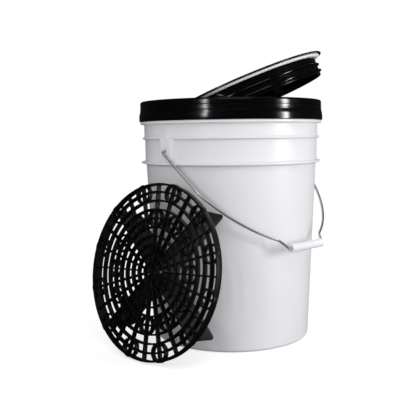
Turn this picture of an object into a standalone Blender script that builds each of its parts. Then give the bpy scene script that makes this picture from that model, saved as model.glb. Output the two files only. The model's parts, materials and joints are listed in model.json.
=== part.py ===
"""Wash bucket: a moulded pail with a push-fit ring, a screw lid, a wire bail and a grit guard.

Units are metres, +Z is up. The origin is the centre of the pail's underside, and the pail's axis is
the Z axis. The front of the object is -Y.
"""

import bmesh
import bpy
from math import asin, cos, pi, radians, sin, sqrt
from mathutils import Matrix, Vector
from mathutils.geometry import delaunay_2d_cdt

MM = 0.001

# ---------------------------------------------------------------- shared values
SEGMENTS = 48                    # facets round every turned piece
TOUCH = 0.3 * MM                 # gap left between pieces that touch
RUNNING = 0.5 * MM               # radial clearance where one piece turns on another

# ---------------------------------------------------------------- pail
PAIL_HEIGHT = 380.0 * MM         # underside to the top of the rim bead
NECK_RADIUS = 142.9 * MM         # outer wall above the upper rib
BAND_RADIUS = NECK_RADIUS - 1.1 * MM     # outer wall between the flange and the upper rib
SHOULDER_RADIUS = NECK_RADIUS - 2.6 * MM    # outer wall just under the lower flange
BASE_RADIUS = NECK_RADIUS - 14.8 * MM    # outer wall, carried down to the underside
WALL = 2.4 * MM
FLOOR = 3.0 * MM
BASE_CORNER = 6.0 * MM           # outside radius where wall and floor meet
FOOT_WIDTH = 14.0 * MM           # flat foot ring under the floor
FOOT_RECESS = 2.0 * MM           # how far the floor panel is raised inside the foot ring
PAD_RADIUS = 30.0 * MM           # moulded centre pad, flush with the foot ring

FLANGE_Z = PAIL_HEIGHT - 90.5 * MM       # middle of the lower flange's edge
FLANGE_RADIUS = NECK_RADIUS + 5.1 * MM
FLANGE_EDGE = 2.0 * MM
FLANGE_ROOT = 9.0 * MM
RIB_Z = PAIL_HEIGHT - 51.4 * MM  # middle of the upper rib's edge
RIB_RADIUS = NECK_RADIUS + 3.5 * MM
RIB_EDGE = 1.8 * MM
RIB_ROOT = 6.5 * MM
LIP_Z = PAIL_HEIGHT - 26.4 * MM  # middle of the lip that the ring stands on
LIP_RADIUS = NECK_RADIUS + 6.3 * MM
LIP_EDGE = 3.6 * MM
LIP_ROOT = 5.0 * MM
BEAD_RADIUS = NECK_RADIUS + 2.5 * MM     # rim bead that the ring grips
BEAD_HEIGHT = 8.0 * MM

# ---------------------------------------------------------------- ears of the pail
EAR_AZIMUTH = radians(43.0)      # from -Y towards -X
EAR_Z = PAIL_HEIGHT - 71.0 * MM  # bail axis
EAR_FACE = NECK_RADIUS + 4.1 * MM        # distance of the flat pad from the pail's axis
EAR_HALF_WIDTH = 12.0 * MM
EAR_SLOPE = 7.0 * MM             # extra half width at the pad's root
GUSSET_WIDTH = 2.5 * MM          # thin upright rib from the pad up to the lip
BLIND_HOLE_DEPTH = 5.2 * MM

# ---------------------------------------------------------------- bail and grip
WIRE_RADIUS = 1.9 * MM
BAIL_DROP = radians(43.0)        # angle of the hanging bail below the horizontal
BAIL_HALF_SPAN = EAR_FACE + 4.6 * MM + WIRE_RADIUS     # middle of the wire's leg at the ear
SEAT_REACH = NECK_RADIUS + 71.1 * MM     # distance of the seat from the bail axis
LEG_END = Vector((BAIL_HALF_SPAN - 12.0 * MM, 0.0, 90.0 * MM))   # where the leg becomes the hoop
HOOP_END = Vector((50.0 * MM, 0.0, SEAT_REACH - 17.0 * MM))      # where the hoop becomes the shoulder
HOOP_TURN = radians(44.0)        # how far the wire turns between the two
SEAT_HALF = 41.5 * MM            # half length of the straight seat for the grip
EAR_BEND = 4.5 * MM
LEG_BEND = 50.0 * MM
SHOULDER_BEND = 8.0 * MM
SEAT_BEND = 5.0 * MM
GRIP_LENGTH = 76.0 * MM
GRIP_RADIUS = 6.7 * MM
GRIP_END_BEVEL = 0.8 * MM

# ---------------------------------------------------------------- push-fit ring
RING_HEIGHT = 32.0 * MM          # from the pail's lip to the top face
RING_RADIUS = NECK_RADIUS + 6.0 * MM
RING_FLARE = RING_RADIUS + 2.0 * MM      # at the bottom edge
RING_SKIN = 2.3 * MM
RING_TOP = 3.4 * MM              # thickness of the top plate
RING_EDGE = 3.0 * MM             # radius of the top outer edge
FLARE_LOW = 7.0 * MM             # the skirt is upright up to here, above the bottom edge
FLARE_HIGH = 20.0 * MM           # and upright again from here, with a smooth curve between
RING_GROOVES = (15.4 * MM, 22.7 * MM)   # heights of the two fine grooves above the bottom edge
GROOVE_DEPTH = 0.45 * MM
GROOVE_WIDTH = 1.0 * MM
MOUTH_RADIUS = NECK_RADIUS - 7.9 * MM    # threaded tube inside the pail's mouth
MOUTH_SKIN = 2.6 * MM
MOUTH_DEPTH = 40.0 * MM
MOUTH_CHAMFER = 3.4 * MM

# ---------------------------------------------------------------- screw thread
THREAD_PITCH = 10.0 * MM
THREAD_TURNS = 1.75
THREAD_WIDTH = 4.4 * MM          # at the root
THREAD_CREST = 1.6 * MM
THREAD_SINK = 0.8 * MM           # how far the ridge is buried in its wall
THREAD_START = radians(90.0)     # where the ridge's top end is
RING_THREAD_HEIGHT = 5.6 * MM
LID_THREAD_HEIGHT = 3.6 * MM
RING_THREAD_DROP = 17.0 * MM     # from the ring's top face to the middle of its ridge's top end
LID_THREAD_DROP = 14.3 * MM      # from the lid's top face to the middle of its ridge's top end

# ---------------------------------------------------------------- screw lid
LID_RADIUS = MOUTH_RADIUS + 5.5 * MM
LID_EDGE = 2.5 * MM              # thickness of the rim
LID_NECK_RADIUS = MOUTH_RADIUS - 7.0 * MM
LID_DEPTH = 34.0 * MM
LID_WALL = 2.8 * MM
LID_DISH_RADIUS = LID_NECK_RADIUS - 11.0 * MM
LID_DISH_DEPTH = 12.0 * MM
LID_PANEL = 2.6 * MM
LID_TILT = radians(22.2)
LID_HEADING = radians(-6.3)      # uphill direction, from +X towards +Y
LID_SHIFT = 17.2 * MM            # middle of the lid's top face, from the pail's axis
LID_RAISE = 23.9 * MM            # and above the ring's top face, for the standard mouth
LID_BAR_WIDTH = 26.0 * MM        # grip bar across the dish
LID_BAR_WALL = 2.4 * MM

# ---------------------------------------------------------------- gaskets
LID_SEAL_RADIUS = LID_NECK_RADIUS + 8.6 * MM    # outside of the flat seal under the lid's rim
LID_SEAL_THICKNESS = 3.1 * MM
RING_SEAL_WIDTH = 3.4 * MM

# ---------------------------------------------------------------- grit guard
GUARD_RADIUS = 133.2 * MM
GUARD_RIM_WIDTH = 3.2 * MM
GUARD_RIM_DEPTH = 10.0 * MM
GUARD_BANDS = 10                 # evenly spaced rings, the last one is the rim
GUARD_SPOKES = 24
GUARD_BAR = 3.0 * MM             # width of rings and spokes
GUARD_BAR_DEPTH = 8.0 * MM
GUARD_SET_BACK = 0.3 * MM        # bars start this far behind the rim's face
GUARD_HUB = 4.0 * MM
GUARD_TURN = radians(3.6)        # how far the spokes are turned from level
GUARD_AZIMUTH = radians(40.45)   # facing direction, from -Y towards -X
GUARD_LEAN = radians(11.8)       # leaning back
GUARD_BEARING = radians(39.33)   # direction of the disc's middle from the pail's axis
GUARD_GAP = 0.5 * MM             # between the pail's wall and the nearest fin
FIN_COUNT = 4
FIN_THICKNESS = 3.0 * MM
FIN_DEPTH = 55.4 * MM            # behind the disc's face
FIN_OUTER = GUARD_RADIUS - 3.4 * MM
FIN_INNER = 3.0 * MM
FIN_CORNER = 8.0 * MM
FIN_TAPER = 1.6 * MM             # how far the outer edge comes in towards the back

# ---------------------------------------------------------------- derived values
RING_BOTTOM = LIP_Z + LIP_EDGE / 2 + TOUCH
RING_TOP_Z = RING_BOTTOM + RING_HEIGHT
LID_CENTRE = Vector((LID_SHIFT, 0.0, RING_TOP_Z + LID_RAISE + (MOUTH_RADIUS - 135.0 * MM) * sin(LID_TILT)))
EAR_OUT = Vector((-sin(EAR_AZIMUTH), -cos(EAR_AZIMUTH), 0.0))
BAIL_SIDE = Vector((cos(EAR_AZIMUTH), -sin(EAR_AZIMUTH), 0.0))
HOLE_RADIUS = WIRE_RADIUS + RUNNING
GUARD_PITCH = GUARD_RADIUS / GUARD_BANDS


# ================================================================ helpers
def clear_scene():
    for item in list(bpy.data.objects):
        bpy.data.objects.remove(item, do_unlink=True)


def plastic(name, colour, roughness, metallic=0.0):
    material = bpy.data.materials.new(name)
    material.use_nodes = True
    shader = material.node_tree.nodes["Principled BSDF"]
    shader.inputs["Base Color"].default_value = (*colour, 1.0)
    shader.inputs["Roughness"].default_value = roughness
    shader.inputs["Metallic"].default_value = metallic
    material.diffuse_color = (*colour, 1.0)
    return material


def new_object(name, mesh, material=None):
    item = bpy.data.objects.new(name, mesh)
    bpy.context.scene.collection.objects.link(item)
    if material:
        mesh.materials.append(material)
    return item


def mesh_from(name, points, faces):
    """A closed mesh with its faces turned outwards."""
    mesh = bpy.data.meshes.new(name)
    mesh.from_pydata([tuple(point) for point in points], [], faces)
    work = bmesh.new()
    work.from_mesh(mesh)
    bmesh.ops.recalc_face_normals(work, faces=work.faces[:])
    work.to_mesh(mesh)
    work.free()
    mesh.shade_smooth()
    mesh.set_sharp_from_angle(angle=radians(30.0))
    return mesh


def arc(centre_r, centre_z, radius, start, end, steps):
    """Profile points on an arc, angles in degrees, 0 along +r and 90 along +z."""
    angles = [radians(start + (end - start) * i / steps) for i in range(steps + 1)]
    return [(centre_r + radius * cos(a), centre_z + radius * sin(a)) for a in angles]


def turned(name, profile, material=None, segments=SEGMENTS):
    """Turn a profile of (r, z) points about Z. It is a closed loop, or runs from axis to axis."""
    points = []
    rows = []
    for radius, height in profile:
        if radius < 1e-9:
            rows.append([len(points)] * segments)
            points.append((0.0, 0.0, height))
            continue
        rows.append(list(range(len(points), len(points) + segments)))
        for i in range(segments):
            angle = 2 * pi * i / segments
            points.append((radius * cos(angle), radius * sin(angle), height))
    faces = []
    pairs = list(zip(rows, rows[1:]))
    if profile[0][0] > 1e-9:
        pairs.append((rows[-1], rows[0]))
    for low, high in pairs:
        for i in range(segments):
            j = (i + 1) % segments
            ring = [low[i], low[j], high[j], high[i]]
            face = list(dict.fromkeys(ring))
            if len(face) > 2:
                faces.append(face)
    return new_object(name, mesh_from(name, points, faces), material)


def prism(name, outline, low, high, material=None):
    """Extrude an outline of (x, y) points from z = low to z = high."""
    count = len(outline)
    points = [(x, y, low) for x, y in outline] + [(x, y, high) for x, y in outline]
    faces = [list(range(count))[::-1], list(range(count, 2 * count))]
    for i in range(count):
        j = (i + 1) % count
        faces.append([i, j, count + j, count + i])
    return new_object(name, mesh_from(name, points, faces), material)


def place(item, matrix):
    """Carry a place into the object's mesh."""
    item.data.transform(matrix)
    return item


def combine(item, others, operation):
    """Join other objects to a piece, or cut them out of it, and leave one plain mesh."""
    for other in others:
        step = item.modifiers.new(other.name, "BOOLEAN")
        step.operation = operation
        step.solver = "EXACT"
        step.object = other
        bpy.context.view_layer.update()
        shape = item.evaluated_get(bpy.context.evaluated_depsgraph_get())
        mesh = bpy.data.meshes.new_from_object(shape)
        old = item.data
        item.modifiers.clear()
        item.data = mesh
        mesh.name = item.name
        bpy.data.meshes.remove(old)
        bpy.data.objects.remove(other, do_unlink=True)
    item.data.shade_smooth()
    item.data.set_sharp_from_angle(angle=radians(30.0))
    return item


def axes_matrix(x_axis, y_axis, z_axis, origin):
    matrix = Matrix((x_axis, y_axis, z_axis)).transposed().to_4x4()
    matrix.translation = origin
    return matrix


def helix_ridge(name, wall, height, z_top, outward):
    """A right-hand screw ridge on a wall of the given radius, from its top end down, thin at its ends."""
    side = 1.0 if outward else -1.0
    steps = int(THREAD_TURNS * SEGMENTS)
    points = []
    for i in range(steps + 1):
        angle = THREAD_START - 2 * pi * i / SEGMENTS
        run_in = min(1.0, i / 4.0, (steps - i) / 4.0)
        rise = height * max(run_in, 0.15)
        middle = z_top - THREAD_PITCH * i / SEGMENTS
        root = wall - side * THREAD_SINK
        crest = wall + side * rise
        section = [
            (root, middle - THREAD_WIDTH / 2),
            (crest, middle - THREAD_CREST / 2),
            (crest, middle + THREAD_CREST / 2),
            (root, middle + THREAD_WIDTH / 2),
        ]
        points += [(r * cos(angle), r * sin(angle), z) for r, z in section]
    faces = [[0, 1, 2, 3], [4 * steps + k for k in (3, 2, 1, 0)]]
    for i in range(steps):
        for k in range(4):
            n = (k + 1) % 4
            faces.append([4 * i + k, 4 * i + n, 4 * i + 4 + n, 4 * i + 4 + k])
    return new_object(name, mesh_from(name, points, faces))


# ================================================================ pail
def rib_points(radius, middle, edge, root, wall_below, wall_above):
    """A rib on the outer wall, listed from bottom to top."""
    return [
        (wall_below, middle - root / 2),
        (radius, middle - edge / 2),
        (radius, middle + edge / 2),
        (wall_above, middle + root / 2),
    ]


def wall_radius(height):
    """Outer radius of the tapered wall below the lower flange."""
    return BASE_RADIUS + (SHOULDER_RADIUS - BASE_RADIUS) * height / (FLANGE_Z - FLANGE_ROOT / 2)


def pail_profile():
    under = FOOT_RECESS
    foot_outer = wall_radius(BASE_CORNER) - BASE_CORNER
    foot_inner = foot_outer - FOOT_WIDTH
    outer = [(0.0, 0.0), (PAD_RADIUS, 0.0), (PAD_RADIUS + under, under)]
    outer += [(foot_inner - under, under), (foot_inner, 0.0)]
    outer += arc(foot_outer, BASE_CORNER, BASE_CORNER, -90.0, 0.0, 4)
    outer += rib_points(FLANGE_RADIUS, FLANGE_Z, FLANGE_EDGE, FLANGE_ROOT, SHOULDER_RADIUS, BAND_RADIUS)
    outer += rib_points(RIB_RADIUS, RIB_Z, RIB_EDGE, RIB_ROOT, BAND_RADIUS, NECK_RADIUS)
    lip_top = LIP_Z + LIP_EDGE / 2
    outer += [(NECK_RADIUS, LIP_Z - LIP_ROOT / 2), (LIP_RADIUS, LIP_Z - LIP_EDGE / 2)]
    outer += [(LIP_RADIUS, lip_top), (NECK_RADIUS, lip_top)]
    outer += [(NECK_RADIUS, PAIL_HEIGHT - BEAD_HEIGHT), (BEAD_RADIUS, PAIL_HEIGHT - BEAD_HEIGHT + 1.5 * MM)]
    outer += [(BEAD_RADIUS, PAIL_HEIGHT - 2.0 * MM), (BEAD_RADIUS - 1.5 * MM, PAIL_HEIGHT)]
    corner = BASE_CORNER - WALL
    inner = [(NECK_RADIUS - WALL + 0.8 * MM, PAIL_HEIGHT), (NECK_RADIUS - WALL, PAIL_HEIGHT - 1.0 * MM)]
    inner += [(NECK_RADIUS - WALL, RIB_Z), (BAND_RADIUS - WALL, RIB_Z - RIB_ROOT / 2)]
    inner += [(BAND_RADIUS - WALL, FLANGE_Z + FLANGE_ROOT / 2)]
    inner += [(SHOULDER_RADIUS - WALL, FLANGE_Z - FLANGE_ROOT / 2)]
    floor_top = FOOT_RECESS + FLOOR
    inner += arc(wall_radius(floor_top) - WALL - corner, floor_top + corner, corner, 0.0, -90.0, 3)
    inner += [(0.0, floor_top)]
    return outer + inner


def ear_frame(side):
    """Local frame of an ear: x sideways, y outwards, z up. side is +1 or -1."""
    outwards = EAR_OUT * side
    return axes_matrix(outwards.cross(Vector((0, 0, 1))), outwards, Vector((0, 0, 1)), Vector((0, 0, 0)))


def make_pail(material):
    pail = turned("bucket_body", pail_profile(), material)
    root = BAND_RADIUS - 1.9 * MM
    gusset_root = NECK_RADIUS - WALL / 2
    for number, side in enumerate((1, -1)):
        half = EAR_HALF_WIDTH
        outline = [(-half - EAR_SLOPE, root), (half + EAR_SLOPE, root), (half, EAR_FACE), (-half, EAR_FACE)]
        pad = prism(f"pad_{number}", outline, FLANGE_Z - FLANGE_EDGE / 4, RIB_Z + RIB_EDGE / 4)
        gusset_outline = [
            (-GUSSET_WIDTH / 2, gusset_root),
            (GUSSET_WIDTH / 2, gusset_root),
            (GUSSET_WIDTH / 2, RIB_RADIUS - 0.4 * MM),
            (-GUSSET_WIDTH / 2, RIB_RADIUS - 0.4 * MM),
        ]
        gusset = prism(f"gusset_{number}", gusset_outline, RIB_Z, LIP_Z)
        place(pad, ear_frame(side))
        place(gusset, ear_frame(side))
        combine(pail, [pad, gusset], "UNION")
        hole_outline = [
            (HOLE_RADIUS * cos(2 * pi * i / 16), HOLE_RADIUS * sin(2 * pi * i / 16)) for i in range(16)
        ]
        hole = prism(f"hole_{number}", hole_outline, 0.0, 10.0 * MM)
        out = EAR_OUT * side
        up = Vector((0, 0, 1))
        place(hole, axes_matrix(up, out.cross(up), out, out * (EAR_FACE - BLIND_HOLE_DEPTH) + up * EAR_Z))
        combine(pail, [hole], "DIFFERENCE")
    return pail


# ================================================================ bail
def bail_frame():
    """Local frame of the bail: x along its axis, y across, z from the axis towards the grip."""
    reach = BAIL_SIDE * cos(BAIL_DROP) - Vector((0, 0, 1)) * sin(BAIL_DROP)
    return axes_matrix(EAR_OUT, reach.cross(EAR_OUT), reach, Vector((0, 0, EAR_Z)))


def rounded_path(corners, bends, steps=5):
    """Points of a polyline whose inner corners are rounded to the given radii."""
    path = [corners[0]]
    for before, corner, after, bend in zip(corners, corners[1:], corners[2:], bends):
        back = (before - corner).normalized()
        ahead = (after - corner).normalized()
        half = back.angle(ahead) / 2
        centre = corner + (back + ahead).normalized() * (bend / sin(half))
        start = corner + back * (bend * cos(half) / sin(half)) - centre
        end = corner + ahead * (bend * cos(half) / sin(half)) - centre
        for i in range(steps + 1):
            mix = start.slerp(end, i / steps) if start.angle(end) > 1e-4 else start
            path.append(centre + mix.normalized() * bend)
    path.append(corners[-1])
    return path


def half_bail():
    """Middle line of one half of the bail, from the hidden end to the middle of the seat."""
    chord = HOOP_END - LEG_END
    bow = Vector((chord.z, 0, -chord.x)).normalized()
    radius = chord.length / 2 / sin(HOOP_TURN / 2)
    centre = (LEG_END + HOOP_END) / 2 - bow * (radius * cos(HOOP_TURN / 2))
    along = chord.normalized()
    hoop = []
    for i in range(9):
        angle = HOOP_TURN * (i / 8 - 0.5)
        hoop.append(centre + (bow * cos(angle) + along * sin(angle)) * radius)
    tip = EAR_FACE - BLIND_HOLE_DEPTH + TOUCH
    leg = [Vector((tip, 0, 0)), Vector((BAIL_HALF_SPAN, 0, 0)), hoop[0], hoop[1]]
    seat = [hoop[-2], hoop[-1], Vector((SEAT_HALF, 0, SEAT_REACH)), Vector((0, 0, SEAT_REACH))]
    lower = rounded_path(seat, [SHOULDER_BEND, SEAT_BEND])
    return rounded_path(leg, [EAR_BEND, LEG_BEND])[:-1] + hoop[1:-2] + lower


def make_bail(material):
    side = half_bail()
    other = [Vector((-point.x, point.y, point.z)) for point in side[-2::-1]]
    frame = bail_frame()
    path = [frame @ point for point in side + other]
    curve = bpy.data.curves.new("bail_wire", "CURVE")
    curve.dimensions = "3D"
    curve.bevel_depth = WIRE_RADIUS
    curve.bevel_resolution = 2
    curve.use_fill_caps = True
    spline = curve.splines.new("POLY")
    spline.points.add(len(path) - 1)
    for target, point in zip(spline.points, path):
        target.co = (*point, 1.0)
    wire = bpy.data.objects.new("bail_wire", curve)
    bpy.context.scene.collection.objects.link(wire)
    curve.materials.append(material)
    return wire


def make_grip(material):
    bore = WIRE_RADIUS + RUNNING
    half = GRIP_LENGTH / 2
    bevel = GRIP_END_BEVEL
    profile = [
        (bore, -half),
        (GRIP_RADIUS - bevel, -half),
        (GRIP_RADIUS, -half + bevel),
        (GRIP_RADIUS, half - bevel),
        (GRIP_RADIUS - bevel, half),
        (bore, half),
    ]
    grip = turned("bail_grip", profile, material, 24)
    frame = bail_frame()
    reach = frame.to_3x3() @ Vector((0, 0, 1))
    middle = frame @ Vector((0, 0, SEAT_REACH))
    return place(grip, axes_matrix(reach, EAR_OUT.cross(reach), EAR_OUT, middle))


# ================================================================ ring
def skirt_radius(height):
    """Outer radius of the ring's skirt: flared below, curving smoothly in to the upper part."""
    share = min(max((height - FLARE_LOW) / (FLARE_HIGH - FLARE_LOW), 0.0), 1.0)
    return RING_FLARE + (RING_RADIUS - RING_FLARE) * share * share * (3 - 2 * share)


def ring_profile():
    low = RING_BOTTOM
    top = RING_TOP_Z
    heights = [(0.0, 0.0), (FLARE_LOW, 0.0), (10.0 * MM, 0.0), (12.6 * MM, 0.0), (17.8 * MM, 0.0)]
    side = GROOVE_WIDTH / 2
    for groove in RING_GROOVES:
        heights += [(groove - side, 0.0), (groove, GROOVE_DEPTH), (groove + side, 0.0)]
    outer = [(skirt_radius(height) - depth, low + height) for height, depth in sorted(heights)]
    outer += arc(RING_RADIUS - RING_EDGE, top - RING_EDGE, RING_EDGE, 0.0, 90.0, 3)
    mouth = [(MOUTH_RADIUS + MOUTH_CHAMFER, top), (MOUTH_RADIUS, top - MOUTH_CHAMFER)]
    mouth += [(MOUTH_RADIUS, top - MOUTH_DEPTH), (MOUTH_RADIUS + MOUTH_SKIN, top - MOUTH_DEPTH)]
    mouth += [(MOUTH_RADIUS + MOUTH_SKIN, top - RING_TOP)]
    grip_z = PAIL_HEIGHT - BEAD_HEIGHT
    inner = [(RING_RADIUS - RING_SKIN, top - RING_TOP), (RING_RADIUS - RING_SKIN, grip_z)]
    inner += [(NECK_RADIUS + TOUCH * 2, grip_z - 1.2 * MM), (RING_RADIUS - RING_SKIN, grip_z - 4.0 * MM)]
    inner += [(RING_RADIUS - RING_SKIN, low)]
    return outer + mouth + inner


def make_ring(material):
    ring = turned("adapter_ring", ring_profile(), material)
    start = RING_TOP_Z - RING_THREAD_DROP
    ridge = helix_ridge("ring_ridge", MOUTH_RADIUS, RING_THREAD_HEIGHT, start, outward=False)
    return combine(ring, [ridge], "UNION")


def make_ring_seal(material):
    low = PAIL_HEIGHT + TOUCH
    high = RING_TOP_Z - RING_TOP - TOUCH
    middle = (NECK_RADIUS - WALL + BEAD_RADIUS) / 2
    half = RING_SEAL_WIDTH / 2
    chamfer = 0.8 * MM
    profile = [
        (middle - half, low),
        (middle + half, low),
        (middle + half, high - chamfer),
        (middle + half - chamfer, high),
        (middle - half + chamfer, high),
        (middle - half, high - chamfer),
    ]
    return turned("ring_gasket", profile, material)


# ================================================================ lid
def lid_frame():
    """Local frame of the lid: z along its axis, origin in the middle of its top face."""
    uphill = Vector((cos(LID_HEADING) * cos(LID_TILT), sin(LID_HEADING) * cos(LID_TILT), sin(LID_TILT)))
    across = Vector((-sin(LID_HEADING), cos(LID_HEADING), 0.0))
    return axes_matrix(uphill, across, uphill.cross(across), LID_CENTRE)


def lid_profile():
    neck = LID_NECK_RADIUS
    dish = LID_DISH_RADIUS
    edge = 1.5 * MM
    top = [(0.0, -LID_DISH_DEPTH), (dish - 2.0 * MM, -LID_DISH_DEPTH), (dish, -LID_DISH_DEPTH + 2.0 * MM)]
    top += [(dish + 0.6 * MM, -0.8 * MM), (dish + 1.6 * MM, 0.0)]
    top += arc(LID_RADIUS - edge, -edge, edge, 90.0, 0.0, 3)
    side = [(LID_RADIUS, -LID_EDGE + 0.5 * MM), (LID_RADIUS - 0.5 * MM, -LID_EDGE), (neck, -LID_EDGE)]
    side += [(neck, -LID_DEPTH + 1.2 * MM), (neck - 0.8 * MM, -LID_DEPTH)]
    inside = neck - LID_WALL
    skin = LID_PANEL
    under = [(inside, -LID_DEPTH), (inside, -skin), (dish + 1.0 * MM + skin, -skin)]
    under += [(dish + skin, -LID_DISH_DEPTH - skin + 1.0 * MM)]
    under += [(dish + skin - 1.0 * MM, -LID_DISH_DEPTH - skin)]
    under += [(0.0, -LID_DISH_DEPTH - skin)]
    return top + side + under


def box(name, x_half, y_half, low, high):
    outline = [(-x_half, -y_half), (x_half, -y_half), (x_half, y_half), (-x_half, y_half)]
    return prism(name, outline, low, high)


def make_lid(material):
    lid = turned("screw_lid", lid_profile(), material)
    half = LID_BAR_WIDTH / 2
    floor = -LID_DISH_DEPTH - LID_PANEL
    bar = box("bar", half, LID_DISH_RADIUS + LID_PANEL / 2, floor + 0.4 * MM, -0.9 * MM)
    hollow_half = half - LID_BAR_WALL
    roof = -0.9 * MM - LID_BAR_WALL
    hollow = box("hollow", hollow_half, LID_DISH_RADIUS - 8.0 * MM, floor - 2.0 * MM, roof)
    combine(lid, [bar], "UNION")
    combine(lid, [hollow], "DIFFERENCE")
    ridge = helix_ridge("lid_ridge", LID_NECK_RADIUS, LID_THREAD_HEIGHT, -LID_THREAD_DROP, outward=True)
    combine(lid, [ridge], "UNION")
    return place(lid, lid_frame())


def make_lid_seal(material):
    high = -LID_EDGE - TOUCH
    low = high - LID_SEAL_THICKNESS
    inner = LID_NECK_RADIUS + TOUCH
    profile = [
        (inner, low),
        (LID_SEAL_RADIUS - 3.0 * MM, low),
        (LID_SEAL_RADIUS - 0.4 * MM, (low + high) / 2),
        (LID_SEAL_RADIUS, high),
        (inner, high),
    ]
    seal = turned("lid_gasket", profile, material)
    return place(seal, lid_frame())


# ================================================================ grit guard
def fin_angle(number):
    """Angle of a fin round the disc, from level."""
    return GUARD_TURN + radians(45.0) + 2 * pi * (number - 1) / FIN_COUNT


def guard_axes():
    """The guard's own x (level), y (up its face) and z (out of its face)."""
    level_out = Vector((-sin(GUARD_AZIMUTH), -cos(GUARD_AZIMUTH), 0.0))
    out = level_out * cos(GUARD_LEAN) + Vector((0, 0, sin(GUARD_LEAN)))
    level = Vector((0, 0, 1)).cross(out).normalized()
    return level, out.cross(level), out


def guard_distance(level, up, out, height):
    """Plan position of the disc's middle when the nearest fin stands GUARD_GAP off the pail's wall."""
    bearing = Vector((-sin(GUARD_BEARING), -cos(GUARD_BEARING), 0.0))
    distance = 0.0
    for number in range(1, FIN_COUNT + 1):
        angle = fin_angle(number)
        along = level * cos(angle) + up * sin(angle)
        side = along.cross(out) * (FIN_THICKNESS / 2)
        for step in range(101):
            reach = FIN_INNER + (FIN_OUTER - FIN_TAPER - FIN_CORNER - FIN_INNER) * step / 100
            for face in (side, -side):
                point = along * reach - out * FIN_DEPTH + face
                wall = wall_radius(height + point.z) + GUARD_GAP
                ahead = point.dot(bearing)
                across = point.x * point.x + point.y * point.y - ahead * ahead
                if across < wall * wall:
                    distance = max(distance, sqrt(wall * wall - across) - ahead)
    return bearing * distance


def guard_frame():
    """Local frame of the guard: z out of its face, x level, origin in the middle of its face."""
    level, up, out = guard_axes()
    height = GUARD_RADIUS * up.z + GUARD_RIM_DEPTH * out.z
    place_in_plan = guard_distance(level, up, out, height)
    return axes_matrix(level, up, out, place_in_plan + Vector((0, 0, height)))


def window(inner, outer, start, end):
    """Corners of one opening between two rings and two spokes."""
    near = asin(GUARD_BAR / 2 / inner)
    far = asin(GUARD_BAR / 2 / outer)
    corners = [(inner, start + near), (outer, start + far), (outer, end - far), (inner, end - near)]
    return [(r * cos(a), r * sin(a)) for r, a in corners]


def guard_windows():
    windows = []
    half = GUARD_BAR / 2
    for band in range(GUARD_BANDS):
        inner = GUARD_PITCH * band + half if band else GUARD_HUB
        outer = GUARD_PITCH * (band + 1) - half
        if band == GUARD_BANDS - 1:
            outer = GUARD_RADIUS - GUARD_RIM_WIDTH
        share = {0: 4, 1: 2}.get(band, 1)
        count = GUARD_SPOKES // share
        for i in range(count):
            start = GUARD_TURN + 2 * pi * i / count
            windows.append(window(inner, outer, start, start + 2 * pi / count))
    return windows


def plate_with_windows(name, outline, windows, low, high):
    """A flat plate with openings: the plan is triangulated, then given its thickness."""
    plan = [Vector(point) for point in outline]
    faces = [list(range(len(plan)))]
    for opening in windows:
        faces.append(list(range(len(plan), len(plan) + len(opening))))
        plan += [Vector(point) for point in opening]
    flat, _, triangles, _, _, sources = delaunay_2d_cdt(plan, [], faces, 1, 1e-7)
    solid = [tri for tri, source in zip(triangles, sources) if list(source) == [0]]
    used = sorted({index for tri in solid for index in tri})
    order = {index: place_in for place_in, index in enumerate(used)}
    count = len(used)
    points = [(*flat[index], low) for index in used] + [(*flat[index], high) for index in used]
    top = [[order[index] for index in tri] for tri in solid]
    edges = {(tri[k], tri[(k + 1) % 3]) for tri in top for k in range(3)}
    shell = [tri[::-1] for tri in top]
    shell += [[index + count for index in tri] for tri in top]
    shell += [[a, b, b + count, a + count] for a, b in edges if (b, a) not in edges]
    return new_object(name, mesh_from(name, points, shell))


def circle(radius, count, turn=0.0):
    return [
        (radius * cos(turn + 2 * pi * i / count), radius * sin(turn + 2 * pi * i / count)) for i in range(count)
    ]


def make_grille(material):
    disc = circle(GUARD_RADIUS - GUARD_RIM_WIDTH / 2, 72)
    back = -GUARD_SET_BACK - GUARD_BAR_DEPTH
    grille = plate_with_windows("guard_grille", disc, guard_windows(), back, -GUARD_SET_BACK)
    grille.data.materials.append(material)
    inner = GUARD_RADIUS - GUARD_RIM_WIDTH
    rim_profile = [
        (inner, -GUARD_RIM_DEPTH),
        (GUARD_RADIUS - 0.6 * MM, -GUARD_RIM_DEPTH),
        (GUARD_RADIUS, -GUARD_RIM_DEPTH + 0.6 * MM),
        (GUARD_RADIUS, -0.8 * MM),
        (GUARD_RADIUS - 0.8 * MM, 0.0),
        (inner, 0.0),
    ]
    rim = turned("rim", rim_profile, None, 72)
    combine(grille, [rim], "UNION")
    return place(grille, guard_frame())


def make_fin(number, material):
    """An upright plate behind the grille, standing along one spoke."""
    near = -GUARD_SET_BACK - GUARD_BAR_DEPTH - TOUCH
    far = -FIN_DEPTH
    outline = [(FIN_INNER, near), (FIN_INNER, far + FIN_CORNER / 2), (FIN_INNER + FIN_CORNER / 2, far)]
    outline += arc(FIN_OUTER - FIN_TAPER - FIN_CORNER, far + FIN_CORNER, FIN_CORNER, -90.0, 0.0, 5)
    reach = GUARD_RADIUS - GUARD_RIM_WIDTH - TOUCH
    step_z = -GUARD_RIM_DEPTH - TOUCH
    outline += [(FIN_OUTER, step_z), (min(FIN_OUTER, reach), step_z), (min(FIN_OUTER, reach), near)]
    outline = [point for i, point in enumerate(outline) if point != outline[i - 1]]
    fin = prism(f"guard_fin_{number}", outline, -FIN_THICKNESS / 2, FIN_THICKNESS / 2, material)
    angle = fin_angle(number)
    along = Vector((cos(angle), sin(angle), 0.0))
    out = Vector((0, 0, 1))
    place(fin, axes_matrix(along, out, along.cross(out), Vector((0, 0, 0))))
    return place(fin, guard_frame())


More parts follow.
